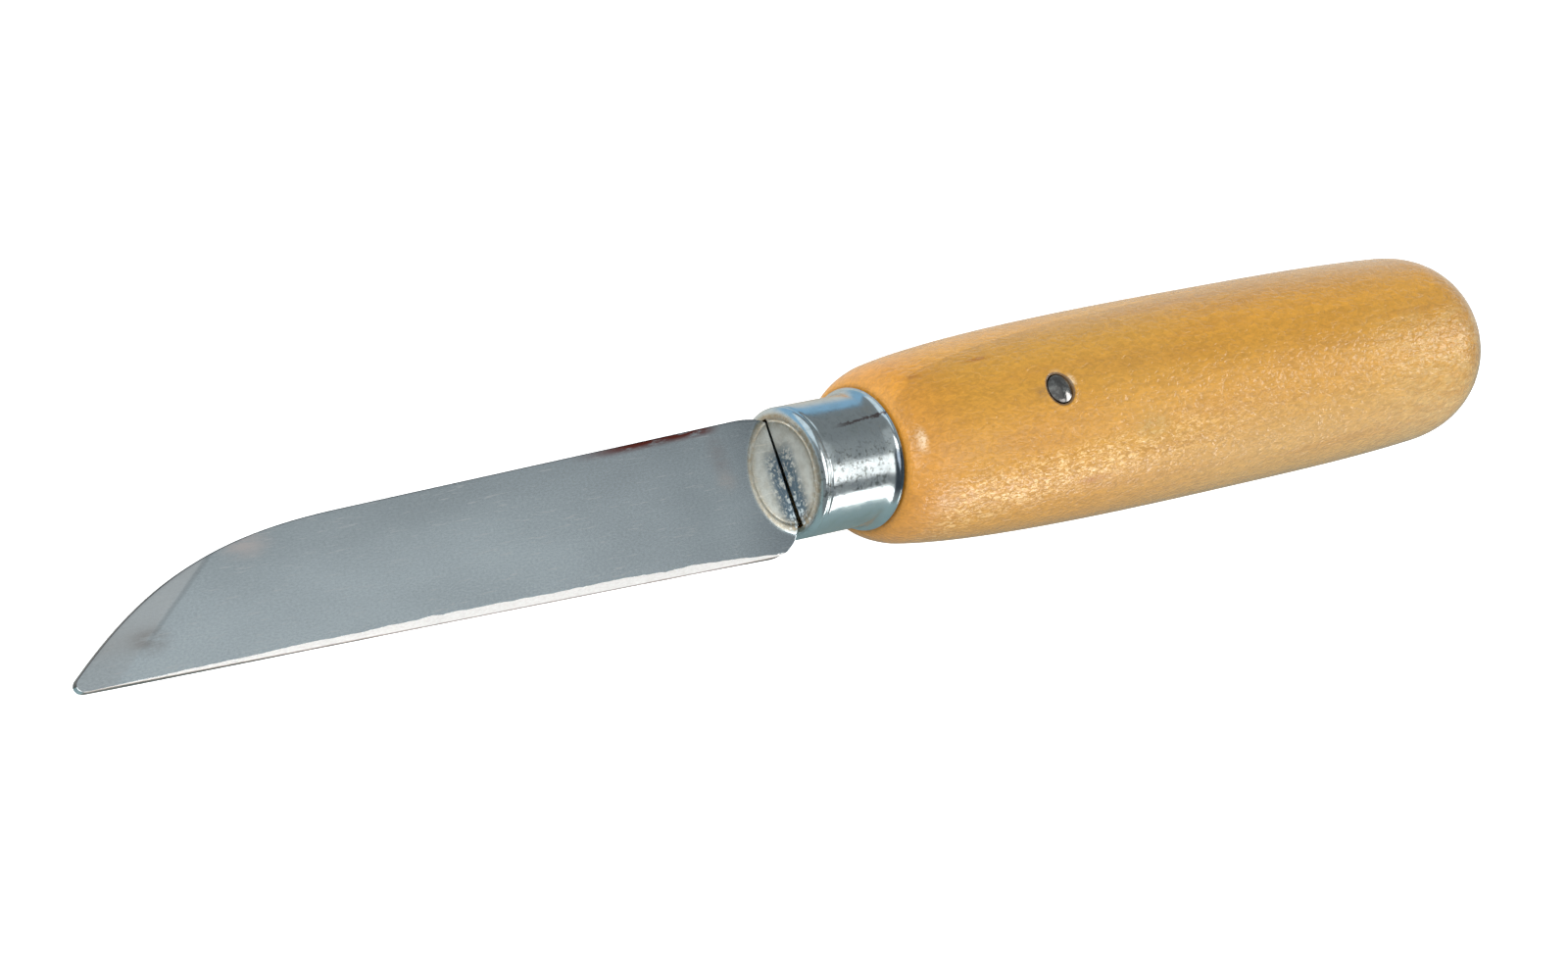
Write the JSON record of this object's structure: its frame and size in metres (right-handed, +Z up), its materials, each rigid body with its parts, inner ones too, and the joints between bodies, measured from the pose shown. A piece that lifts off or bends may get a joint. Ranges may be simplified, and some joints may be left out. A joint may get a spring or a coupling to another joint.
{
  "type": "hoof knife",
  "caption": "Straight fixed-blade hoof knife lying on its side: flat steel blade with a dropped point, slotted metal ferrule and turned, lacquered wooden handle with a cross pin.",
  "frame": {"origin": "on the surface that the handle's belly rests on, under the middle of the knife's length and on the handle's centre line", "axes": "+X along the handle's axis from the blade's point to the butt, +Y from the cutting edge towards the spine, +Z up, square to the blade's flats"},
  "size_m": [0.2389, 0.0286, 0.0286],
  "materials": {
    "blade_steel": "fine lengthwise satin polish, with a bright ground bevel along the edge",
    "zinc_plate": "bright zinc plating on drawn steel, slightly mottled",
    "lacquered_wood": "clear gloss lacquer on pale close-grained hardwood",
    "pin_steel": "dark polished steel"
  },
  "bodies": {
    "root": {"blade": "blade_steel", "ferrule": "zinc_plate", "handle": "lacquered_wood", "pin": "pin_steel"}
  },
  "joints": []
}
